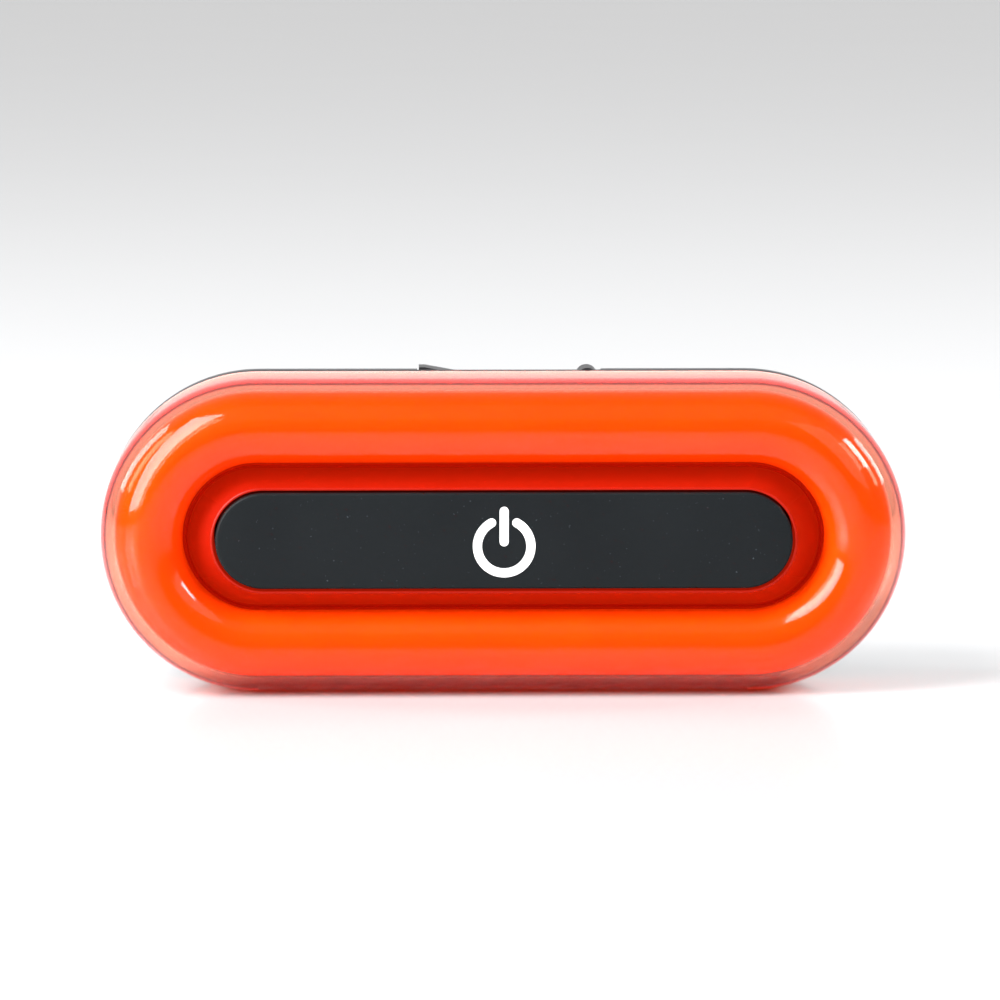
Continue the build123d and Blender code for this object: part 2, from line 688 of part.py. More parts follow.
def clip_arm():
    """Sprung arm: thumb tab above the pivot, straight back, and a toothed hook below."""
    z = CLIP_PIVOT[1]
    side = outline(
        *Polyline(
            (ARM_IN, z - 1.2),
            (ARM_IN, -6.6),
            (JAW_DEPTH, -7.9),
            (JAW_DEPTH, -9.5),
            (JAW_DEPTH + 1.1, -10.5),
            (ARM_OUT - 1.4, -9.3),
            (ARM_OUT, -7.4),
            (ARM_OUT, z + 0.6),
            (CLIP_BACK, TAB_EDGE),
            TAB_TIP,
            (25.7, z + 1.9),
            close=True,
        ).edges()
    )
    arm = cross(side, -ARM_HALF, ARM_HALF)
    root = Polyline((ARM_OUT, z + 1), (ARM_OUT, z - 4))
    knuckle = make_hull([*pivot_circle(CLIP_EAR_R).edges(), *root.edges()])
    for low, high in ((-ARM_HALF, -KNUCKLE_IN), (KNUCKLE_IN, ARM_HALF)):
        arm += cross(knuckle, low, high)
    arm -= cross(pivot_circle(CLIP_PIN_R + 0.05), -CLIP_HALF, CLIP_HALF)
    arm -= cross(pivot_circle(2.4), -KNUCKLE_IN, KNUCKLE_IN)
    # Teeth on the hook and ridges under the thumb.
    for i in range(TEETH):
        tooth = Pos(JAW_DEPTH, -9.3 + 0.4 * i) * Rot(0, 0, 45) * Rectangle(0.25, 0.25)
        arm -= cross(tooth, -ARM_HALF, ARM_HALF)
    arm = fillet(arm.edges().filter_by(Axis.X).group_by(Axis.Z)[-1], 0.5)
    corners = arm.faces().sort_by(Axis.Z)[-1].center().Z
    for sign in (-1, 1):
        trim = Pos(sign * ARM_HALF, 0, corners + 0.4) * Rot(0, 45, 0) * Box(3.0, 80, 3.0)
        arm -= trim
    slope = Vector(0, CLIP_BACK - ARM_OUT, TAB_EDGE - z - 0.6).normalized()
    for i in range(RIDGES):
        spot = Vector(0, ARM_OUT, z + 0.6) + slope * (2.4 + 1.05 * i)
        arm += Pos(spot) * Rot(0, 90, 0) * Cylinder(0.35, 2 * ARM_HALF - 3.4)
    return arm


SPRING_R, SPRING_WIRE, SPRING_SPAN = 1.6, 0.35, 4.0
SPRING_FEET = ((PLATE_BACK + SPRING_WIRE + 0.02, 9.6), (26.48, 9.2))  # on the base, on the arm


def leg_angle(foot, side):
    """The angle round the pin at which a straight leg to a foot leaves the coil."""
    run, rise = foot[0] - CLIP_PIVOT[0], foot[1] - CLIP_PIVOT[1]
    return degrees(atan2(rise, run)) + side * degrees(acos(SPRING_R / hypot(run, rise)))


def clip_spring():
    """Torsion spring round the pin, with one leg on the base and one on the thumb tab."""
    depth, z = CLIP_PIVOT
    angles = (leg_angle(SPRING_FEET[0], -1), leg_angle(SPRING_FEET[1], 1))
    turns = 4 + (angles[0] - angles[1]) % 360 / 360
    wound = coil(SPRING_R, SPRING_WIRE, SPRING_SPAN, turns, left_handed=True)
    place = Plane.YZ.offset(-SPRING_SPAN / 2).location * Pos(depth, z) * Rot(0, 0, angles[0])
    spring = [place * wound]
    for x, foot, angle in zip((-SPRING_SPAN / 2, SPRING_SPAN / 2), SPRING_FEET, angles):
        turn = radians(angle)
        start = Vector(x, depth + SPRING_R * cos(turn), z + SPRING_R * sin(turn))
        leg = Line(start, (x, *foot))
        spring.append(sweep(Plane(origin=start, z_dir=leg % 0) * Circle(SPRING_WIRE), path=leg))
    return spring


# ---- Export -----------------------------------------------------------------------------
NODES = [
    front_lens,
    light_guide,
    button_surround,
    button_seal,
    power_symbol,
    button_cap,
    bar_springs,
    reflector_tray,
    main_board,
    led_packages,
    led_resin,
    switch_body,
    switch_cover,
    switch_plunger,
    switch_legs,
    controller_chip,
    controller_legs,
    charger_chip,
    chip_resistors,
    chip_capacitors,
    power_inductor,
    port_shell,
    port_tongue,
    port_door,
    port_door_seal,
    port_door_pin,
    battery_cell,
    battery_guard_board,
    battery_tape,
    battery_lead_red,
    battery_lead_black,
    battery_plug,
    foam_pad,
    housing_seal,
    rear_housing,
    housing_screws,
    clip_base,
    clip_screws,
    clip_pin,
    clip_arm,
    clip_spring,
]


def solids_of(made):
    """Every solid of a sub-part, whether it was made as one shape or as a list."""
    shapes = made if isinstance(made, list) else [made]
    return [solid for shape in shapes for solid in shape.solids()]


os.makedirs("parts", exist_ok=True)
for node in NODES:
    placed = [TO_ROW * solid for solid in solids_of(node())]
    export_step(Compound(children=placed) if len(placed) > 1 else placed[0], f"parts/{node.__name__}.step")
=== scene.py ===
"""Looks of the LED safety flare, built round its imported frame.

The outlines are drawn in millimetres about the light's own centreline: x along the pill, depth
from the crest of the lens towards the back, and z, or a radius from the straight middle, outwards.
spot() turns these into places in the row frame, in metres.
"""

import json
import math

import bpy
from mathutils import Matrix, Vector


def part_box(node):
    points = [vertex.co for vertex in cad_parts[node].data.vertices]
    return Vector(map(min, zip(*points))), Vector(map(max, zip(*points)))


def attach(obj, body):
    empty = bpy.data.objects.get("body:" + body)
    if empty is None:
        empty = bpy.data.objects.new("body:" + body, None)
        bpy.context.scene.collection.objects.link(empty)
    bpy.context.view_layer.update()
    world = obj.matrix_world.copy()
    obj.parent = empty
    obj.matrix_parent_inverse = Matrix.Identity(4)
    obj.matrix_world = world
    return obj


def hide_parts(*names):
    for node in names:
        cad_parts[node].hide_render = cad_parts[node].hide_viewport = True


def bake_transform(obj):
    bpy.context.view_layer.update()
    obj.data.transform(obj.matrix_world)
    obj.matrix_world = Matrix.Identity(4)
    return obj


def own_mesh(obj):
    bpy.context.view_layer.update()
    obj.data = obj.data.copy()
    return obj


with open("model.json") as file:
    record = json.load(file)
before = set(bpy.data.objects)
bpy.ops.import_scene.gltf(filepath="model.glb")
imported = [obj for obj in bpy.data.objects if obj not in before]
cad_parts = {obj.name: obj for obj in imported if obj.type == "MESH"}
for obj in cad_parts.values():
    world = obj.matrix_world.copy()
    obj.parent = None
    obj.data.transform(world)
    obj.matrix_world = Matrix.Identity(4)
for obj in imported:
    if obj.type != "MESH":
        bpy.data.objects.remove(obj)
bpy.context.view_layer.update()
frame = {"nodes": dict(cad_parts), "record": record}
bpy.ops.object.select_all(action="DESELECT")

# ---- Driving sizes, in millimetres ------------------------------------------------------
MM = 0.001
lens_low, lens_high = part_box("front_lens")
FRONT = lens_low.y / MM
MIDDLE = (lens_low.z + lens_high.z) / 2 / MM
LENS_R = (lens_high.z - lens_low.z) / 2 / MM
RUN = (lens_high.x - lens_low.x) / 2 / MM - LENS_R  # half the straight length of the pill


def depth_of(node):
    """(front, back) of a CAD node, as depths."""
    low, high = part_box(node)
    return low.y / MM - FRONT, high.y / MM - FRONT


def half_height(node):
    """Half a CAD node's height, which is its radius where it goes round the pill."""
    low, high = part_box(node)
    return (high.z - low.z) / 2 / MM


CREST_R = 9.4
VALLEY_R = 6.0
VALLEY_DEPTH = 4.2
SHOULDER_DEPTH = 5.6
WALL = 1.0
VALLEY_WALL = 0.45
SKIRT_BACK = 6.2
LENS_BACK = depth_of("front_lens")[1]
GUIDE_GAP = 0.2
GUIDE_BACK = 7.2
GUIDE_STEP = 6.1
FLANGE_R = 7.6
GUIDE_SKIRT_BACK = 10.4
POST_BACK = depth_of("light_guide")[1]

BUTTON_FACE, FLANGE_BACK = depth_of("button_cap")
BUTTON_RUN = 20.7
BAR_SPRING_X = 16.0
BUTTON_R = 4.15
SURROUND_BACK = depth_of("button_surround")[1]
SURROUND_R = BUTTON_R + 0.2
WIPER = depth_of("button_seal")
WIPER_R = half_height("button_seal")

HOUSING_FRONT = depth_of("housing_seal")[1]
LIP_FRONT, BACK = depth_of("rear_housing")
BAND_BACK = 13.6
BACK_R = 9.2
HOUSING_WALL = 1.5
LIP_OUTER_R = 11.9
LIP_INNER_R = LIP_OUTER_R - 1
BOARD_BACK = depth_of("main_board")[1]

SCREW_X, SCREW_Z = RUN, 8.8
SCREW_R = 0.95
SCREW_SEAT = 18.6

PORT_X, PORT_DEPTH = -1.0, 14.88
DOOR_X = (-7.3, 6.9)
DOOR_DEPTH = depth_of("port_door")
DOOR_UNDER = LENS_R - 1.2
DOOR_TOP = (LENS_R - 0.15, LENS_R - 0.5)
DOOR_PIVOT = (7.45, LENS_R - 0.8)
KNUCKLE_R = 0.95
KNUCKLE_DEPTH = (13.95, 15.65)
PLUG_X = (-6.2, 4.2)

CLIP_PIVOT = (24.9, 4.4)  # depth, z
CLIP_HALF = 8.0
EAR_INNER = 6.5
ARM_HALF = 6.3
ARM_IN, ARM_OUT = 24.9, 26.7
PLATE_BACK = BACK + 1.2
CLIP_KNUCKLE_R = 2.1
COIL_ROOM_HALF = 3.9  # half the gap in the arm where the spring sits
PEG_X, PEG_Z, PEG_R = 5.0, 0.6, 0.95
CLIP_BACK = depth_of("clip_arm")[1]
CLIP_SCREW = (4.6, 8.2)
TAB_EDGE = 11.1
TAB_TIP = (27.9, 11.6)

ROUND_STEPS = 48  # steps in half a turn of the pill's round ends
CURVE_STEPS = 14  # steps in a quarter of an outline's curve
SMOOTH = 35  # degrees; sharper edges than this keep a crease in the shading
OVERLAP = 1e-6  # metres; points nearer than this are merged


def spot(x, depth, z):
    """A place in the row frame, in metres."""
    return Vector((x * MM, (FRONT + depth) * MM, (MIDDLE + z) * MM))


# ---- Modelling kit ----------------------------------------------------------------------
def clear_selection():
    if bpy.context.mode != "OBJECT":
        bpy.ops.object.mode_set(mode="OBJECT")
    bpy.ops.object.select_all(action="DESELECT")


def pick(piece):
    clear_selection()
    piece.select_set(True)
    bpy.context.view_layer.objects.active = piece


def smooth(piece, angle=SMOOTH):
    pick(piece)
    bpy.ops.object.shade_smooth_by_angle(angle=math.radians(angle))


def oval(centre, radii, start, sweep, steps=CURVE_STEPS):
    """Points of an ellipse's arc, from a start angle through a sweep, in degrees."""
    turns = [math.radians(start + sweep * i / steps) for i in range(steps + 1)]
    return [(centre[0] + radii[0] * math.cos(t), centre[1] + radii[1] * math.sin(t)) for t in turns]


def trace(name, places, closed):
    """Starts a mesh from one vertex and extrudes it from place to place; leaves it in edit mode."""
    clear_selection()
    bpy.ops.mesh.primitive_plane_add(size=MM, location=places[0])
    piece = bpy.context.active_object
    piece.name = piece.data.name = name
    bpy.ops.object.transform_apply(location=True)
    bpy.ops.object.mode_set(mode="EDIT")
    bpy.ops.mesh.select_all(action="SELECT")
    bpy.ops.mesh.merge(type="CENTER")
    stops = places + places[:1] if closed else places
    for here, there in zip(stops, stops[1:]):
        bpy.ops.mesh.extrude_region_move(TRANSFORM_OT_translate={"value": there - here})
    bpy.ops.mesh.select_all(action="SELECT")
    bpy.ops.mesh.remove_doubles(threshold=OVERLAP)
    return piece


def close_up(piece):
    """Merges doubles, turns the faces outwards and leaves edit mode with smooth shading."""
    bpy.ops.mesh.select_all(action="SELECT")
    bpy.ops.mesh.remove_doubles(threshold=OVERLAP)
    bpy.ops.mesh.normals_make_consistent(inside=False)
    bpy.ops.object.mode_set(mode="OBJECT")
    bpy.ops.object.shade_smooth_by_angle(angle=math.radians(SMOOTH))
    return piece


def carry_round(name, outline, closed=True, run=RUN):
    """Carries an outline of (depth, radius) points round the whole pill."""
    piece = trace(name, [spot(run, depth, radius) for depth, radius in outline], closed)
    for side in (1, -1):
        centre = spot(side * run, 0, 0)
        bpy.ops.mesh.spin(steps=ROUND_STEPS, angle=-math.pi, center=centre, axis=(0, 1, 0))
        bpy.ops.mesh.extrude_region_move(TRANSFORM_OT_translate={"value": (-2 * side * run * MM, 0, 0)})
    return close_up(piece)


def extruded(name, places, way):
    """A closed outline filled and drawn out along a vector."""
    piece = trace(name, places, closed=True)
    bpy.ops.mesh.edge_face_add()
    bpy.ops.mesh.extrude_region_move(TRANSFORM_OT_translate={"value": way})
    return close_up(piece)


def slab(name, outline, front, back):
    """An outline of (x, z) points between two depths."""
    return extruded(name, [spot(x, front, z) for x, z in outline], (0, (back - front) * MM, 0))


def beam(name, outline, low, high):
    """An outline of (depth, z) points between two places along the pill."""
    return extruded(name, [spot(low, depth, z) for depth, z in outline], ((high - low) * MM, 0, 0))


def block(name, x, depth, z):
    """A box from three (low, high) pairs."""
    corners = [(x[0], z[0]), (x[1], z[0]), (x[1], z[1]), (x[0], z[1])]
    return slab(name, corners, *depth)


def circle(centre, radius):
    """A closed circle of 48 points."""
    return oval(centre, (radius, radius), 0, 352.5, 47)


def rod(name, x, z, front, back, radius):
    """A cylinder along the depth."""
    return slab(name, circle((x, z), radius), front, back)


def cross_rod(name, radius, low, high):
    """A cylinder about the clip's hinge."""
    return beam(name, circle(CLIP_PIVOT, radius), low, high)


def slot_outline(x, z, length, height, steps=12):
    """A slot's outline: two half circles."""
    radius = height / 2
    reach = length / 2 - radius
    right = oval((x + reach, z), (radius, radius), -90, 180, steps)
    return right + oval((x - reach, z), (radius, radius), 90, 180, steps)


def turned(name, outline, centre, axis, steps=32):
    """A lathe-turned piece: an open outline of places that starts and ends on its axis."""
    piece = trace(name, outline, closed=False)
    bpy.ops.mesh.spin(steps=steps, angle=2 * math.pi, center=centre, axis=axis)
    return close_up(piece)


def apply_modifier(piece, kind, **settings):
    pick(piece)
    modifier = piece.modifiers.new(kind.lower(), kind)
    for key, value in settings.items():
        setattr(modifier, key, value)
    bpy.ops.object.modifier_apply(modifier=modifier.name)


def combine(piece, tool, operation):
    apply_modifier(piece, "BOOLEAN", object=tool, operation=operation, solver="EXACT")
    bpy.data.meshes.remove(tool.data)


def cut(piece, *tools):
    for tool in tools:
        combine(piece, tool, "DIFFERENCE")


def weld(piece, *tools):
    for tool in tools:
        combine(piece, tool, "UNION")


def soften(piece, width, segments=2, angle=40):
    """Rounds the sharp edges a little, as a mould does, and smooths the shading again."""
    limits = {"limit_method": "ANGLE", "angle_limit": math.radians(angle)}
    apply_modifier(piece, "BEVEL", width=width * MM, segments=segments, **limits)
    smooth(piece)


def copy_of(piece, name, way):
    """A copy with its own mesh, moved along a vector in millimetres."""
    twin = piece.copy()
    twin.data = piece.data.copy()
    twin.name = twin.data.name = name
    bpy.context.collection.objects.link(twin)
    pick(twin)
    bpy.ops.transform.translate(value=Vector(way) * MM)
    bpy.ops.object.transform_apply(location=True)
    return twin


def joined(piece, *others):
    pick(piece)
    for other in others:
        other.select_set(True)
    bpy.ops.object.join()
    return piece


def quadrants(x, z):
    return [(i * x, k * z) for i in (-1, 1) for k in (-1, 1)]


# ---- Shader kit -------------------------------------------------------------------------
class Value:
    """A node's output that can be reckoned with: each operator adds its Math node."""

    def __init__(self, finish, socket):
        self.finish = finish
        self.socket = socket

    def reckon(self, operation, first, second):
        return self.finish.node("Math", {0: first, 1: second}, operation=operation)

    def __add__(self, other):
        return self.reckon("ADD", self, other)

    def __mul__(self, other):
        return self.reckon("MULTIPLY", self, other)

    __radd__ = __add__
    __rmul__ = __mul__


class Finish:
    """A material while it is being made."""

    def __init__(self, name):
        self.material = bpy.data.materials.new(name)
        self.material.use_nodes = True
        self.tree = self.material.node_tree
        self.tree.nodes.clear()

    def node(self, kind, sockets=(), output=0, **settings):
        """Adds a node: its settings first, then the values or links of its sockets."""
        made = self.tree.nodes.new("ShaderNode" + kind)
        for key, value in settings.items():
            setattr(made, key, value)
        for key, value in dict(sockets).items():
            socket = made.inputs[key]
            if isinstance(value, Value):
                self.tree.links.new(value.socket, socket)
            elif socket.type == "RGBA":
                socket.default_value = (*value, 1)
            else:
                socket.default_value = value
        return Value(self, made.outputs[output])

    def place(self, scale=(1, 1, 1), turn=(0, 0, 0)):
        """Object coordinates in millimetres, stretched and turned."""
        spread = [s / MM for s in scale]
        here = self.node("TexCoord", output="Object")
        return self.node("Mapping", {"Vector": here, "Scale": spread, "Rotation": turn})

    def noise(self, size, detail=3, place=None, rough=0.5):
        """Noise from 0 to 1 whose lumps are about a size in millimetres."""
        where = place or self.place()
        sockets = {"Vector": where, "Scale": 1 / size, "Detail": detail, "Roughness": rough}
        return self.node("TexNoise", sockets)

    def ramp(self, factor, low, high):
        """0 below one value of the factor and 1 above another."""
        return self.node("MapRange", {"Value": factor, "From Min": low, "From Max": high}, clamp=True)

    def blend(self, factor, first, second):
        return self.node("Mix", {0: factor, 6: first, 7: second}, output=2, data_type="RGBA")

    def tint(self, colour, factor, spread):
        """A colour that goes from darker to lighter by a spread as the factor goes from 0 to 1."""
        dark = [c * (1 - spread) for c in colour]
        light = [min(c * (1 + spread), 1) for c in colour]
        return self.blend(factor, dark, light)

    def bump(self, height, depth):
        """A bump of a depth in millimetres."""
        return self.node("Bump", {"Height": height, "Distance": depth * MM, "Strength": 1.0})

    def done(self, **sockets):
        """Ends in one Principled shader; underscores in names stand for spaces."""
        named = {key.replace("_", " "): value for key, value in sockets.items()}
        volume = named.pop("Volume", None)
        surface = self.node("BsdfPrincipled", named)
        made = self.tree.nodes.new("ShaderNodeOutputMaterial")
        self.tree.links.new(surface.socket, made.inputs["Surface"])
        if volume:
            self.tree.links.new(volume.socket, made.inputs["Volume"])
        return self.material


# ---- Finishes ---------------------------------------------------------------------------
def clear_lens():
    """Polished clear plastic that turns rosy where it is looked through lengthways."""
    f = Finish("clear_lens")
    ripple = f.noise(9, detail=2)
    haze = f.noise(2.5, detail=4)
    soak = f.node("VolumeAbsorption", {"Color": (1.0, 0.36, 0.1), "Density": 560})
    return f.done(
        Base_Color=(1, 0.99, 0.985),
        Roughness=0.05 + haze * 0.05,
        Transmission_Weight=1.0,
        IOR=1.25,
        Coat_Weight=0.12,
        Coat_Roughness=0.02,
        Normal=f.bump(ripple, 0.012),
        Volume=soak,
    )


def frosted_silicone():
    """Natural milky silicone, with a painted pale pink glow that stands in for the light it picks up from
    what is round it.
    """
    f = Finish("frosted_silicone")
    cloud = f.noise(2)
    return f.done(
        Base_Color=f.tint((0.93, 0.9, 0.88), cloud, 0.03),
        Roughness=0.5,
        # Emission: painted glow; the silicone is no lamp
        Emission_Color=(1.0, 0.6, 0.5),
        Emission_Strength=0.5,
        Normal=f.bump(cloud, 0.01),
    )


def orange_guide():
    f = Finish("orange_guide")
    cloud = f.noise(7, detail=2)
    haze = f.noise(1.2)
    return f.done(
        Base_Color=f.blend(cloud, (1.0, 0.08, 0.0004), (1.0, 0.104, 0.0008)),
        Roughness=0.5 + haze * 0.1,
        Specular_IOR_Level=0.05,
        # Emission: painted orange glow that stands in for light soaking through the translucent plastic;
        # the guide is no lamp here
        Emission_Color=(1.0, 0.078, 0.0),
        Emission_Strength=0.35,
        Normal=f.bump(haze, 0.01),
    )


def deep_red_plastic():
    f = Finish("deep_red_plastic")
    cloud = f.noise(6, detail=2)
    return f.done(
        Base_Color=f.blend(cloud, (0.17, 0.003, 0.0004), (0.2, 0.0045, 0.0005)),
        # Emission: painted red glow that lifts the collar's shaded parts and evens out its light and
        # shade; the collar is no lamp
        Emission_Color=(1.0, 0.021, 0.002),
        Emission_Strength=0.3,
        Roughness=0.34 + cloud * 0.1,
        Specular_IOR_Level=0.15,
        Normal=f.bump(cloud, 0.02),
    )


def slate_button():
    """Satin slate moulding with a little dust and a faint cloudiness."""
    f = Finish("slate_button")
    cloud = f.noise(8, detail=3)
    grain = f.noise(0.16, detail=2)
    dust = f.ramp(f.noise(0.22, detail=2), 0.74, 0.78)
    plain = f.blend(cloud, (0.0058, 0.0072, 0.0082), (0.0078, 0.0096, 0.0108))
    return f.done(
        Base_Color=f.blend(dust, plain, (0.06, 0.07, 0.08)),
        Roughness=0.42 + cloud * 0.12,
        Specular_IOR_Level=0.12,
        Normal=f.bump(grain, 0.006),
    )


def moulded(name, colour, roughness, grain_size=0.2, grain_depth=0.01, spread=0.12):
    """A moulded plastic: slightly uneven colour and sheen over a fine grain."""
    f = Finish(name)
    cloud = f.noise(5)
    grain = f.noise(grain_size, detail=2)
    return f.done(
        Base_Color=f.tint(colour, cloud, spread),
        Roughness=roughness - 0.05 + cloud * 0.1,
        Normal=f.bump(grain, grain_depth),
    )


def housing_black():
    """Black housing with a fine spark-eroded texture that takes a dull sheen."""
    f = Finish("housing_black")
    cloud = f.noise(9)
    grain = f.noise(0.22, detail=3)
    pits = f.node("TexVoronoi", {"Vector": f.place(), "Scale": 3.2})
    return f.done(
        Base_Color=f.tint((0.014, 0.014, 0.0155), cloud, 0.2),
        Roughness=0.34 + grain * 0.16,
        Normal=f.bump(grain + pits * 0.6, 0.014),
    )


def clip_black():
    """Glass-filled nylon: short pale fibres just under a dull black skin."""
    f = Finish("clip_black")
    fibre = f.noise(0.3, detail=2, place=f.place(scale=(1, 1, 0.25)))
    grain = f.noise(0.18)
    seen = f.ramp(fibre, 0.58, 0.72)
    return f.done(
        Base_Color=f.blend(seen, (0.016, 0.016, 0.017), (0.034, 0.034, 0.036)),
        Roughness=0.46 + grain * 0.14,
        Normal=f.bump(grain + seen * 0.4, 0.012),
    )


def metal(name, colour, roughness, streaks=(1, 1, 1)):
    """A metal with fine streaks along the way that it was drawn or turned."""
    f = Finish(name)
    streak = f.noise(0.12, detail=4, place=f.place(scale=streaks))
    stain = f.noise(2.5)
    return f.done(
        Base_Color=f.tint(colour, stain, 0.1),
        Metallic=1.0,
        Roughness=roughness + streak * 0.12,
        Normal=f.bump(streak, 0.004),
    )


def board_green():
    """Solder mask over copper tracks, with bright pads."""
    f = Finish("board_green")
    flat = f.place(turn=(math.pi / 2, 0, 0))
    tracks = f.node("TexBrick", {"Vector": flat, "Scale": 0.7, "Mortar Size": 0.09}, output=1)
    weave = f.node("TexWave", {"Vector": f.place(), "Scale": 1.6, "Distortion": 0.4})
    return f.done(
        Base_Color=f.blend(tracks, (0.006, 0.075, 0.03), (0.015, 0.16, 0.06)),
        Roughness=0.28 + weave * 0.08,
        Normal=f.bump(tracks + weave * 0.2, 0.03),
    )


def grey_foam():
    f = Finish("grey_foam")
    cells = f.node("TexVoronoi", {"Vector": f.place(), "Scale": 2.6})
    return f.done(
        Base_Color=f.blend(cells, (0.05, 0.05, 0.052), (0.16, 0.16, 0.165)),
        Roughness=0.85 + cells * 0.1,
        Normal=f.bump(cells, 0.15),
    )


def battery_foil():
    """Crinkled aluminium pouch."""
    f = Finish("battery_foil")
    crinkle = f.noise(3, detail=5, rough=0.6)
    return f.done(
        Base_Color=f.tint((0.62, 0.63, 0.65), crinkle, 0.08),
        Metallic=1.0,
        Roughness=0.3 + crinkle * 0.15,
        Normal=f.bump(crinkle, 0.25),
    )


FINISHES = {
    "clear_lens": clear_lens(),
    "orange_guide": orange_guide(),
    "deep_red_plastic": deep_red_plastic(),
    "frosted_silicone": frosted_silicone(),
    "dark_silicone": moulded("dark_silicone", (0.012, 0.012, 0.013), 0.6, 0.4, 0.02),
    "white_ink": moulded("white_ink", (0.95, 0.95, 0.94), 0.4, 0.3, 0.003, 0.02),
    "slate_button": slate_button(),
    "spring_steel": metal("spring_steel", (0.52, 0.51, 0.5), 0.22, (0.2, 1, 1)),
    "white_plastic": moulded("white_plastic", (0.82, 0.82, 0.8), 0.4),
    "board_green": board_green(),
    "led_white": moulded("led_white", (0.86, 0.86, 0.84), 0.35, 0.12),
    "led_resin": moulded("led_resin", (0.9, 0.5, 0.08), 0.15, 0.5, 0.01),
    "black_plastic": moulded("black_plastic", (0.015, 0.015, 0.016), 0.4),
    "bright_steel": metal("bright_steel", (0.68, 0.68, 0.67), 0.16, (1, 1, 0.15)),
    "red_plunger": moulded("red_plunger", (0.42, 0.03, 0.02), 0.4),
    "solder": metal("solder", (0.7, 0.7, 0.71), 0.28),
    "chip_epoxy": moulded("chip_epoxy", (0.02, 0.02, 0.021), 0.55, 0.08, 0.012),
    "resistor_black": moulded("resistor_black", (0.02, 0.02, 0.022), 0.3, 0.1),
    "capacitor_tan": moulded("capacitor_tan", (0.42, 0.3, 0.18), 0.45, 0.1),
    "ferrite": moulded("ferrite", (0.07, 0.07, 0.072), 0.6, 0.15, 0.03),
    "housing_black": housing_black(),
    "battery_foil": battery_foil(),
    "yellow_tape": moulded("yellow_tape", (0.68, 0.4, 0.02), 0.25, 2.0, 0.08),
    "red_wire": moulded("red_wire", (0.5, 0.012, 0.01), 0.45, 0.3),
    "black_wire": moulded("black_wire", (0.012, 0.012, 0.013), 0.45, 0.3),
    "grey_foam": grey_foam(),
    "zinc_screw": metal("zinc_screw", (0.55, 0.56, 0.6), 0.25),
    "clip_black": clip_black(),
}
SLOT_OF = {entry["node"]: entry["material_slot"] for entry in frame["record"]["subparts"]}
BODIES = frame["record"]["behaviour"]["bodies"]
BODY_OF = {node: body for body, nodes in BODIES.items() for node in nodes}


def finish_for(piece, node):
    """The piece takes a CAD node's slot and finish, and stands for it."""
    piece.data.materials.clear()
    piece.data.materials.append(FINISHES[SLOT_OF[node]])
    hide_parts(node)


def stand_for(piece, node):
    """The piece takes a CAD node's slot and finish, and rides on its body."""
    finish_for(piece, node)
    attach(piece, BODY_OF[node])


# ---- Front ------------------------------------------------------------------------------
def dome(inset, valley_inset):
    """The ring's curve at a distance below its surface, from the valley out to the shoulder."""
    inner_radii = (VALLEY_DEPTH - inset, CREST_R - VALLEY_R - valley_inset)
    outer_radii = (SHOULDER_DEPTH - inset, LENS_R - CREST_R - inset)
    inner = oval((VALLEY_DEPTH, CREST_R), inner_radii, 270, -90)
    outer = oval((SHOULDER_DEPTH, CREST_R), outer_radii, 180, -90)
    return inner + outer[1:]


def make_lens():
    surface = dome(0, 0)
    under = dome(WALL, VALLEY_WALL)
    rim = [(LENS_BACK, LENS_R), (LENS_BACK, LENS_R - WALL)]
    skirt = [(SKIRT_BACK, VALLEY_R + VALLEY_WALL), (SKIRT_BACK, VALLEY_R)]
    lens = carry_round("lens", surface + rim + under[::-1] + skirt)
    soften(lens, 0.12, angle=60)
    stand_for(lens, "front_lens")


def make_guide():
    outer_r = LENS_R - WALL - GUIDE_GAP
    skirt = [(GUIDE_SKIRT_BACK, outer_r), (GUIDE_SKIRT_BACK, LIP_INNER_R - 0.05)]
    back = [(GUIDE_BACK, LIP_INNER_R - 0.05), (GUIDE_BACK, FLANGE_R + GUIDE_GAP)]
    step = [(GUIDE_STEP, FLANGE_R + GUIDE_GAP), (GUIDE_STEP, VALLEY_R + VALLEY_WALL + GUIDE_GAP)]
    guide = carry_round("guide", dome(WALL + GUIDE_GAP, VALLEY_WALL + GUIDE_GAP) + skirt + back + step)
    for x, z in quadrants(SCREW_X, SCREW_Z):
        weld(guide, rod("post", x, z, GUIDE_BACK - 0.01, POST_BACK, 2.0))
    for x, z in quadrants(SCREW_X, SCREW_Z):
        cut(guide, rod("bore", x, z, GUIDE_BACK + 1, POST_BACK + 1, SCREW_R + 0.03))
    smooth(guide)
    stand_for(guide, "light_guide")


def make_surround():
    """The collar, whose inner wall is drawn in at both ends to follow the shorter button."""
    top = BUTTON_FACE + 0.35
    edge_r = VALLEY_R - 0.06
    outline = [(top, SURROUND_R), (top + 0.02, SURROUND_R + 0.2)]
    outline += [(VALLEY_DEPTH + 0.12, edge_r), (SKIRT_BACK, edge_r)]
    outline += [(SKIRT_BACK, FLANGE_R), (SURROUND_BACK, FLANGE_R)]
    outline += [(SURROUND_BACK, SURROUND_R), (WIPER[1], SURROUND_R), (WIPER[1], WIPER_R)]
    outline += [(WIPER[0], WIPER_R), (WIPER[0], SURROUND_R)]
    collar = carry_round("surround", outline)
    shift = RUN - BUTTON_RUN
    for side in (-1, 1):
        pick(collar)
        bpy.ops.object.mode_set(mode="EDIT")
        bpy.ops.mesh.select_all(action="DESELECT")
        bpy.ops.object.mode_set(mode="OBJECT")
        for vertex in collar.data.vertices:
            along = side * vertex.co.x / MM - RUN
            up = vertex.co.z / MM - MIDDLE
            vertex.select = along > -1 and math.hypot(along, up) < WIPER_R + 0.1
        bpy.ops.object.mode_set(mode="EDIT")
        bpy.ops.transform.translate(value=(-side * shift * MM, 0, 0))
        bpy.ops.object.mode_set(mode="OBJECT")
    soften(collar, 0.08, angle=30)
    stand_for(collar, "button_surround")


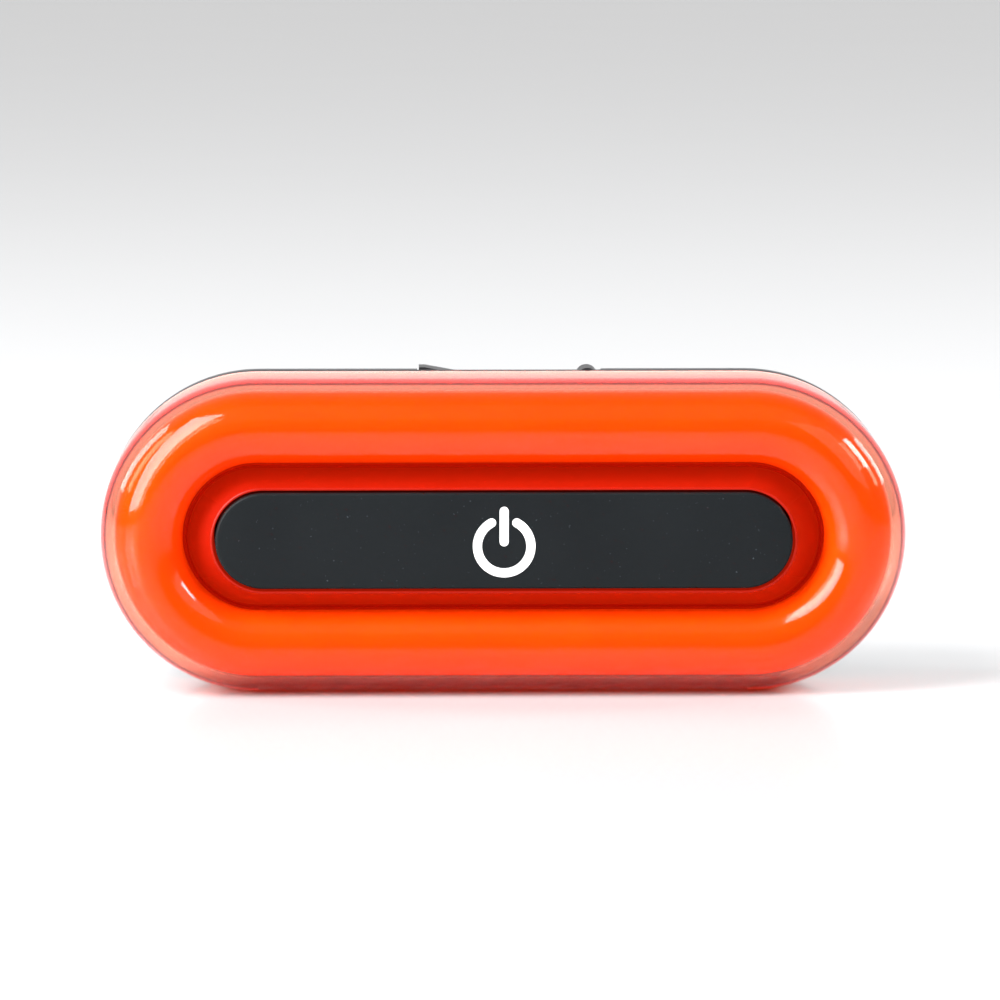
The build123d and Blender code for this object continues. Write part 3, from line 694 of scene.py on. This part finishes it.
def make_seal():
    inner = BUTTON_R + 0.05
    outline = [(WIPER[0], inner), (WIPER[0], WIPER_R), (WIPER[1], WIPER_R), (WIPER[1], inner)]
    seal = carry_round("wiper_seal", outline, run=BUTTON_RUN)
    soften(seal, 0.15)
    stand_for(seal, "button_seal")


SYMBOL_R, SYMBOL_STROKE, SYMBOL_Z = 2.3, 0.78, -0.45
SYMBOL_GAP = 28  # degrees, half the ring's opening
SYMBOL_DEEP = 0.3
UPRIGHT_LONG = 3.42


def symbol_solids(front, back):
    """The broken ring and the stroke of the power symbol."""
    half = SYMBOL_STROKE / 2
    start, sweep = 90 + SYMBOL_GAP, 360 - 2 * SYMBOL_GAP
    centre = (0, SYMBOL_Z)
    outer = oval(centre, (SYMBOL_R + half, SYMBOL_R + half), start, sweep, 64)
    inner = oval(centre, (SYMBOL_R - half, SYMBOL_R - half), start + sweep, -sweep, 64)
    ends = []
    for angle in (start + sweep, start):
        turn = math.radians(angle)
        middle = (SYMBOL_R * math.cos(turn), SYMBOL_Z + SYMBOL_R * math.sin(turn))
        first = angle if angle != start else angle + 180
        ends.append(oval(middle, (half, half), first, 180, 10)[1:-1])
    ring = slab("symbol_ring", outer + ends[0] + inner + ends[1], front, back)
    places = slot_outline(0, 0, UPRIGHT_LONG, SYMBOL_STROKE, 10)
    upright = [(-z, SYMBOL_Z + UPRIGHT_LONG / 2 + x) for x, z in places]
    stroke = slab("symbol_stroke", upright, front, back)
    return ring, stroke


def make_button():
    chamfer = 0.25
    nose = oval((BUTTON_FACE + chamfer, BUTTON_R - chamfer), (chamfer, chamfer), 180, -90, 5)
    flange_front = FLANGE_BACK - 0.8
    inside_r = BUTTON_R - 1.0
    roof = 2.0
    outline = [(BUTTON_FACE, 0)] + nose
    flange_r = BUTTON_R + 1.1
    outline += [(flange_front, BUTTON_R), (flange_front, flange_r), (FLANGE_BACK, flange_r)]
    outline += [(FLANGE_BACK, inside_r), (roof, inside_r), (roof, 0)]
    cap = carry_round("press_bar", outline, closed=False, run=BUTTON_RUN)
    weld(cap, rod("boss", 0, 0, roof - 0.2, depth_of("switch_plunger")[0] - 0.05, 2.0))
    for side in (-1, 1):
        weld(cap, rod("spring_peg", side * BAR_SPRING_X, 0, roof - 0.2, roof + 1.5, 1.1))
        rib = (side * 8 - 0.5, side * 8 + 0.5)
        weld(cap, block("rib", rib, (roof - 0.2, roof + 2.5), (0.5 - BUTTON_R, BUTTON_R - 0.5)))
    cut(cap, *symbol_solids(BUTTON_FACE - 1, BUTTON_FACE + SYMBOL_DEEP))
    smooth(cap)
    stand_for(cap, "button_cap")
    symbol = joined(*symbol_solids(BUTTON_FACE - 0.01, BUTTON_FACE + SYMBOL_DEEP))
    symbol.name = symbol.data.name = "power_mark"
    stand_for(symbol, "power_symbol")


make_lens()
make_guide()
make_surround()
make_seal()
make_button()


# ---- Housing ----------------------------------------------------------------------------
def make_housing_seal():
    front, back = depth_of("housing_seal")
    inner, outer = LIP_OUTER_R + 0.1, half_height("housing_seal")
    step = LENS_R - WALL - 0.1
    outline = [(front, inner), (front, step), (LENS_BACK, step), (LENS_BACK, outer)]
    outline += [(back, outer), (back, inner)]
    seal = carry_round("housing_gasket", outline)
    soften(seal, 0.08)
    stand_for(seal, "housing_seal")


def make_housing():
    outer = oval((BAND_BACK, BACK_R), (BACK - BAND_BACK, LENS_R - BACK_R), 0, 90)
    inner_back = BACK - HOUSING_WALL
    inner = oval((BAND_BACK, BACK_R), (inner_back - BAND_BACK, LIP_OUTER_R - BACK_R), 90, -90)
    lip = [(HOUSING_FRONT + 0.15, LENS_R), (HOUSING_FRONT, LENS_R - 0.15), (HOUSING_FRONT, LIP_OUTER_R)]
    lip += [(LIP_FRONT, LIP_OUTER_R), (LIP_FRONT, LIP_INNER_R)]
    lip += [(BOARD_BACK, LIP_INNER_R), (BOARD_BACK, LIP_OUTER_R)]
    outline = [(BACK, 0)] + outer + lip + inner + [(inner_back, 0)]
    shell = carry_round("housing", outline, closed=False)
    boss_front = BOARD_BACK + 0.05
    for x, z in quadrants(SCREW_X, SCREW_Z):
        weld(shell, rod("screw_boss", x, z, boss_front, BACK - 1, 2.7))
    for x, z in quadrants(SCREW_X, SCREW_Z):
        cut(shell, rod("screw_way", x, z, boss_front - 1, BACK, SCREW_R + 0.2))
        cut(shell, rod("screw_well", x, z, SCREW_SEAT, BACK + 1, 2.1))
    for side in (-1, 1):
        weld(shell, rod("clip_boss", side * CLIP_SCREW[0], CLIP_SCREW[1], 16.8, BACK - 1, 2.0))
        cut(shell, rod("clip_bore", side * CLIP_SCREW[0], CLIP_SCREW[1], 17.0, BACK + 1, SCREW_R + 0.03))
        cut(shell, rod("peg_hole", side * PEG_X, PEG_Z, BACK - 0.9, BACK + 1, PEG_R + 0.05))
    x, z = DOOR_PIVOT
    well = (DOOR_DEPTH[0] - 0.15, DOOR_DEPTH[1] + 0.15)
    cut(shell, block("door_well", (DOOR_X[0] - 0.15, x), well, (DOOR_UNDER - 0.1, LENS_R + 2)))
    cut(shell, rod("knuckle_well", x, z, *well, KNUCKLE_R + 0.3))
    cut(shell, block("knuckle_mouth", (x, x + KNUCKLE_R + 0.3), well, (z, LENS_R + 2)))
    for low, high in ((well[0] - 0.05, KNUCKLE_DEPTH[0] - 0.06), (KNUCKLE_DEPTH[1] + 0.06, 16.45)):
        ear = rod("ear", x, z, low, high, KNUCKLE_R)
        weld(ear, block("ear_root", (x - KNUCKLE_R, x + KNUCKLE_R), (low, high), (z - 1.4, z)))
        weld(shell, ear)
    cut(shell, rod("pin_hole", x, z, 13.2, 16.35, 0.4))
    low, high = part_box("port_shell")
    mouth = slot_outline(PORT_X, 0, (high.x - low.x) / MM + 0.3, (high.y - low.y) / MM + 0.2)
    opening = extruded("port_way", [spot(a, PORT_DEPTH + b, 8) for a, b in mouth], (0, 0, 6 * MM))
    cut(shell, opening)
    smooth(shell, 30)
    stand_for(shell, "rear_housing")


def make_door():
    front, back = DOOR_DEPTH
    side = [(front, DOOR_UNDER), (back, DOOR_UNDER), (back, DOOR_TOP[1]), (front, DOOR_TOP[0])]
    door = beam("port_cover", side, *DOOR_X)
    lip_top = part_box("port_door")[1].z / MM - MIDDLE
    lip = [(DOOR_X[0], DOOR_TOP[1] - 0.2), (DOOR_X[0], lip_top), (DOOR_X[0] + 0.5, lip_top)]
    lip += [(-3.2, DOOR_TOP[1]), (-3.2, DOOR_TOP[1] - 0.2)]
    weld(door, slab("lip", lip, front + 0.5, back - 0.5))
    x, z = DOOR_PIVOT
    for low, high in ((front - 0.1, KNUCKLE_DEPTH[0]), (KNUCKLE_DEPTH[1], back + 0.1)):
        cut(door, block("ear_room", (x - 1.15, x + 2), (low, high), (z - 3, z + 3)))
    weld(door, rod("knuckle", x, z, *KNUCKLE_DEPTH, KNUCKLE_R))
    cut(door, rod("pin_way", x, z, front - 1, back + 1, 0.45))
    seat = (DOOR_UNDER - 1, DOOR_UNDER + 0.3)
    cut(door, block("seal_seat", PLUG_X, (front + 0.35, back - 0.55), seat))
    soften(door, 0.12)
    stand_for(door, "port_door")


def make_door_seal():
    low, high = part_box("port_door_seal")
    front, back = depth_of("port_door_seal")
    nose_low = low.z / MM - MIDDLE
    pad = block("port_plug", PLUG_X, (front, back), (DOOR_UNDER, high.z / MM - MIDDLE))
    outline = [spot(a, PORT_DEPTH + b, nose_low) for a, b in slot_outline(PORT_X, 0, 7.7, 2.0)]
    weld(pad, extruded("nose", outline, (0, 0, (DOOR_UNDER - nose_low + 0.05) * MM)))
    soften(pad, 0.1)
    stand_for(pad, "port_door_seal")


def make_pan_screws(name, node, places, seat, tip, head_r, head_high):
    """Pan-head screws with a cross recess: one is turned and cut, the others are copies."""
    x, z = places[0]
    crown = seat + head_high
    pitch = 0.4
    thread = [(tip, 0), (tip, SCREW_R * 0.6), (tip + 0.4, SCREW_R)]
    for i in range(int((seat - tip - 1.2) / pitch)):
        start = tip + 0.5 + pitch * i
        thread += [(start, SCREW_R), (start + 0.2, SCREW_R - 0.16)]
    rounding = oval((seat + head_high * 0.3, 0), (head_high * 0.7, head_r), 90, -90, 8)
    outline = thread + [(seat, SCREW_R), (seat, head_r)] + rounding
    centre = spot(x, 0, z)
    screw = turned(name, [spot(x, depth, z + radius) for depth, radius in outline], centre, (0, 1, 0), 28)
    for wide, high in ((2.0, 0.46), (0.46, 2.0)):
        across, upward = (x - wide / 2, x + wide / 2), (z - high / 2, z + high / 2)
        cut(screw, block("recess", across, (crown - 0.65, crown + 1), upward))
    smooth(screw)
    copies = [copy_of(screw, name, (a - x, 0, b - z)) for a, b in places[1:]]
    stand_for(joined(screw, *copies), node)


make_housing_seal()
make_housing()
make_door()
make_door_seal()
corners = quadrants(SCREW_X, SCREW_Z)
make_pan_screws("housing_screw", "housing_screws", corners, SCREW_SEAT, 8.6, 1.85, 1.35)
clip_screw_places = [(-CLIP_SCREW[0], CLIP_SCREW[1]), CLIP_SCREW]
make_pan_screws("clip_screw", "clip_screws", clip_screw_places, PLATE_BACK, 17.4, 1.8, 1.2)


# ---- Clip -------------------------------------------------------------------------------
def make_clip_base():
    low_z, high_z = -1.4, 10.4
    corner = 1.5
    outline = []
    for x, z, start in (
        (CLIP_HALF - corner, high_z - corner, 0),
        (corner - CLIP_HALF, high_z - corner, 90),
        (corner - CLIP_HALF, low_z + corner, 180),
        (CLIP_HALF - corner, low_z + corner, 270),
    ):
        outline += oval((x, z), (corner, corner), start, 90, 8)
    base = slab("clip_plate", outline, BACK, PLATE_BACK)
    depth, z = CLIP_PIVOT
    lean = 55
    top = oval((depth, z), (CLIP_KNUCKLE_R, CLIP_KNUCKLE_R), lean, -2 * lean, 16)
    ear = [(BACK + 0.3, z + 4.2)] + top + [(BACK + 0.3, z - 4.6)]
    for low, high in ((-CLIP_HALF, -EAR_INNER), (EAR_INNER, CLIP_HALF)):
        weld(base, beam("clip_ear", ear, low, high))
    soften(base, 0.25, segments=3, angle=50)
    cut(base, cross_rod("pin_way", 1.0, -CLIP_HALF - 1, CLIP_HALF + 1))
    for side in (-1, 1):
        x, z = side * CLIP_SCREW[0], CLIP_SCREW[1]
        cut(base, rod("screw_way", x, z, BACK - 1, PLATE_BACK + 1, SCREW_R + 0.15))
        weld(base, rod("peg", side * PEG_X, PEG_Z, BACK - 0.8, BACK + 0.2, PEG_R))
    smooth(base)
    stand_for(base, "clip_base")


def make_clip_arm():
    depth, z = CLIP_PIVOT
    jaw = BACK + 0.1
    side = [(ARM_IN, z - 1.2), (ARM_IN, -6.6), (jaw, -7.9), (jaw, -9.5), (jaw + 1.1, -10.5)]
    side += [(ARM_OUT - 1.4, -9.3), (ARM_OUT, -7.4), (ARM_OUT, z + 0.6), (CLIP_BACK, TAB_EDGE)]
    side += [TAB_TIP, (25.7, z + 1.9)]
    arm = beam("clip_lever", side, -ARM_HALF, ARM_HALF)
    barrel = oval((depth, z), (CLIP_KNUCKLE_R, CLIP_KNUCKLE_R), 238, -180, 20)
    knuckle = [(ARM_OUT, z - 4)] + barrel + [(ARM_OUT, z + 1)]
    for low, high in ((-ARM_HALF, -COIL_ROOM_HALF), (COIL_ROOM_HALF, ARM_HALF)):
        weld(arm, beam("knuckle", knuckle, low, high))
    top = TAB_TIP[1]
    for sign in (-1, 1):
        near, far = sign * (ARM_HALF - 1.7), sign * (ARM_HALF + 0.5)
        cut(arm, slab("corner", [(near, top + 0.5), (far, top + 0.5), (far, top - 1.7)], 20, 32))
    cut(arm, cross_rod("spring_room", 2.4, -COIL_ROOM_HALF, COIL_ROOM_HALF))
    soften(arm, 0.25, segments=3, angle=40)
    cut(arm, cross_rod("pin_way", 1.05, -10, 10))
    tooth_half, tooth_pitch = 0.17, 0.4
    diamond = ((1, 0), (0, 1), (-1, 0), (0, -1))
    for i in range(4):
        middle = (jaw, -9.3 + tooth_pitch * i)
        tooth = [(middle[0] + tooth_half * a, middle[1] + tooth_half * b) for a, b in diamond]
        cut(arm, beam("tooth", tooth, -ARM_HALF - 1, ARM_HALF + 1))
    run, rise = CLIP_BACK - ARM_OUT, TAB_EDGE - z - 0.6
    length = math.hypot(run, rise)
    ridge_r, ridge_pitch, ridge_half = 0.33, 1.05, ARM_HALF - 1.7
    for i in range(4):
        along = 2.4 + ridge_pitch * i
        middle = (ARM_OUT + run / length * along, z + 0.6 + rise / length * along)
        ridge = oval(middle, (ridge_r, ridge_r), 0, 345, 23)
        weld(arm, beam("ridge", ridge, -ridge_half, ridge_half))
    smooth(arm)
    stand_for(arm, "clip_arm")


def make_pin(name, node, places, axis, radius):
    """A pin with rounded ends, from one place to another along an axis."""
    start, end = places
    along = (end - start).normalized()
    up = Vector((0, 0, radius * MM))
    edge = 0.15 * MM * along
    outline = [start, start + up * 0.8, start + up + edge, end + up - edge, end + up * 0.8, end]
    stand_for(turned(name, outline, start, axis), node)


SPRING_R, SPRING_WIRE, SPRING_SPAN = 1.6, 0.35, 4.0
SPRING_FEET = ((PLATE_BACK + SPRING_WIRE + 0.02, 9.6), (26.48, 9.2))  # on the base, on the arm


def leg_angle(foot, side):
    """The angle round the pin at which a straight leg to a foot leaves the coil."""
    run, rise = foot[0] - CLIP_PIVOT[0], foot[1] - CLIP_PIVOT[1]
    lean = math.acos(SPRING_R / math.hypot(run, rise))
    return math.degrees(math.atan2(rise, run)) + side * math.degrees(lean)


def wire_form(name, routes, radius):
    """Round wire along each route of (x, depth, z) places, as one mesh with closed ends."""
    curve = bpy.data.curves.new(name, "CURVE")
    curve.dimensions = "3D"
    curve.bevel_depth = radius * MM
    curve.bevel_resolution = 3
    curve.use_fill_caps = True
    for route in routes:
        line = curve.splines.new("POLY")
        line.points.add(len(route) - 1)
        for point, place in zip(line.points, route):
            point.co = (*spot(*place), 1)
    wire = bpy.data.objects.new(name, curve)
    bpy.context.collection.objects.link(wire)
    pick(wire)
    bpy.ops.object.convert(target="MESH")
    bpy.ops.object.shade_smooth_by_angle(angle=math.radians(50))
    return bpy.context.active_object


def make_clip_spring():
    """Torsion spring: a straight leg on the base, the turns round the pin, and a leg on the arm."""
    depth, z = CLIP_PIVOT
    angles = [leg_angle(SPRING_FEET[0], -1), leg_angle(SPRING_FEET[1], 1)]
    sweep = -(4 * 360 + (angles[0] - angles[1]) % 360)
    steps = 150
    half = SPRING_SPAN / 2
    route = [(-half, *SPRING_FEET[0])]
    for i in range(steps + 1):
        turn = math.radians(angles[0] + sweep * i / steps)
        x = SPRING_SPAN * (i / steps - 0.5)
        route.append((x, depth + SPRING_R * math.cos(turn), z + SPRING_R * math.sin(turn)))
    route.append((half, *SPRING_FEET[1]))
    spring = wire_form("torsion_spring", [route], SPRING_WIRE)
    finish_for(spring, "clip_spring")
    hold = half - SPRING_WIRE  # half the span less the wire's radius
    spot(-hold, depth, z)
    spot(hold, depth, z)
    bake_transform(spring)


def make_bar_springs():
    """The two light coils behind the press bar; in the real light they shorten as it is pressed."""
    front, back = depth_of("bar_springs")
    wire, radius, turns, steps = 0.2, 1.55, 7, 168
    routes = []
    for side in (-1, 1):
        route = []
        for i in range(steps + 1):
            turn = 2 * math.pi * turns * i / steps
            depth = front + wire + (back - front - 2 * wire) * i / steps
            x = side * BAR_SPRING_X + radius * math.cos(turn)
            route.append((x, depth, -radius * math.sin(turn)))
        routes.append(route)
    springs = wire_form("bar_coils", routes, wire)
    stand_for(springs, "bar_springs")
    spot(0, back, 0)
    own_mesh(springs)


make_clip_base()
make_clip_arm()
pin_ends = [spot(side * CLIP_HALF, *CLIP_PIVOT) for side in (-1, 1)]
make_pin("hinge_pin", "clip_pin", pin_ends, (1, 0, 0), 1.0)
door_pin_ends = [spot(DOOR_PIVOT[0], depth, DOOR_PIVOT[1]) for depth in depth_of("port_door_pin")]
make_pin("cover_pin", "port_door_pin", door_pin_ends, (0, 1, 0), 0.4)
make_clip_spring()
make_bar_springs()

# ---- What is inside keeps its CAD shape and takes its finish ----------------------------
for node, part in frame["nodes"].items():
    for holder in part.material_slots:
        holder.material = FINISHES[SLOT_OF[node]]


# ---- Studio -----------------------------------------------------------------------------
def aim(thing, target):
    thing.rotation_euler = (Vector(target) - thing.location).to_track_quat("-Z", "Y").to_euler()


def make_floor():
    clear_selection()
    bpy.ops.mesh.primitive_plane_add(size=8, location=(0, 1.5, 0))
    floor = bpy.context.active_object
    floor.name = "floor"
    f = Finish("studio_floor")
    pale = f.tint((0.53, 0.535, 0.545), f.noise(60), 0.01)
    floor.data.materials.append(f.done(Base_Color=pale, Roughness=0.16))


LAMP_TARGET = (0, 0, 0.014)


def softbox(name, place, size, power, seen=True):
    """A rectangular lamp; one that isn't seen lights without showing in reflections."""
    clear_selection()
    bpy.ops.object.light_add(type="AREA", location=place)
    lamp = bpy.context.active_object
    lamp.name = name
    lamp.data.shape = "RECTANGLE"
    lamp.data.size, lamp.data.size_y = size
    lamp.data.energy = power
    lamp.visible_glossy = seen
    aim(lamp, LAMP_TARGET)


WORLD_FRONT, WORLD_BACK = 0.05, 1.15


def make_world():
    """Bright behind, dim above and in front; the camera itself always sees at least white."""
    world = bpy.data.worlds.new("studio")
    bpy.context.scene.world = world
    world.use_nodes = True
    nodes, links = world.node_tree.nodes, world.node_tree.links
    nodes.clear()
    way = nodes.new("ShaderNodeTexCoord")
    parts = nodes.new("ShaderNodeSeparateXYZ")
    level = nodes.new("ShaderNodeMapRange")
    level.interpolation_type = "SMOOTHSTEP"
    level.inputs["From Min"].default_value = 0.2
    level.inputs["From Max"].default_value = 0.75
    level.inputs["To Min"].default_value = WORLD_FRONT
    level.inputs["To Max"].default_value = WORLD_BACK
    path = nodes.new("ShaderNodeLightPath")
    seen = nodes.new("ShaderNodeMath")
    seen.operation = "MAXIMUM"
    shade = nodes.new("ShaderNodeBackground")
    out = nodes.new("ShaderNodeOutputWorld")
    links.new(way.outputs["Generated"], parts.inputs["Vector"])
    links.new(parts.outputs["Y"], level.inputs["Value"])
    links.new(level.outputs["Result"], seen.inputs[0])
    links.new(path.outputs["Is Camera Ray"], seen.inputs[1])
    links.new(seen.outputs["Value"], shade.inputs["Strength"])
    links.new(shade.outputs["Background"], out.inputs["Surface"])


def make_camera():
    """Looks along the depth from a little above, from far enough to be nearly flat."""
    elevation = math.radians(6.8)
    turn = math.radians(-0.8)
    distance = 0.55
    field = 0.0877  # width of the view at the object
    sensor = 36
    centre = Vector((-0.0002, -0.0026, 0.0158))
    clear_selection()
    level = math.cos(elevation)
    back = Vector((math.sin(turn) * level, -math.cos(turn) * level, math.sin(elevation)))
    bpy.ops.object.camera_add(location=centre + distance * back)
    camera = bpy.context.active_object
    camera.data.lens = sensor * distance / field
    camera.data.sensor_width = sensor
    camera.data.clip_start = 0.01
    aim(camera, centre)
    bpy.context.scene.camera = camera


make_floor()
make_world()
softbox("left_box", (-0.5, -0.36, 0.4), (0.34, 0.75), 17.0)
softbox("right_box", (0.62, -0.1, 0.4), (0.16, 0.2), 3.5)
softbox("left_rear_box", (-0.6, 0.15, 0.35), (0.15, 0.4), 3.0)
softbox("right_rear_box", (0.6, 0.17, 0.3), (0.12, 0.25), 1.5)
softbox("top_fill", (0, -0.4, 1.0), (1.4, 1.0), 3.0, seen=False)
softbox("right_fill", (0.6, -0.4, 0.5), (0.6, 0.6), 5.0, seen=False)
make_camera()
bpy.context.scene.view_settings.view_transform = "Standard"
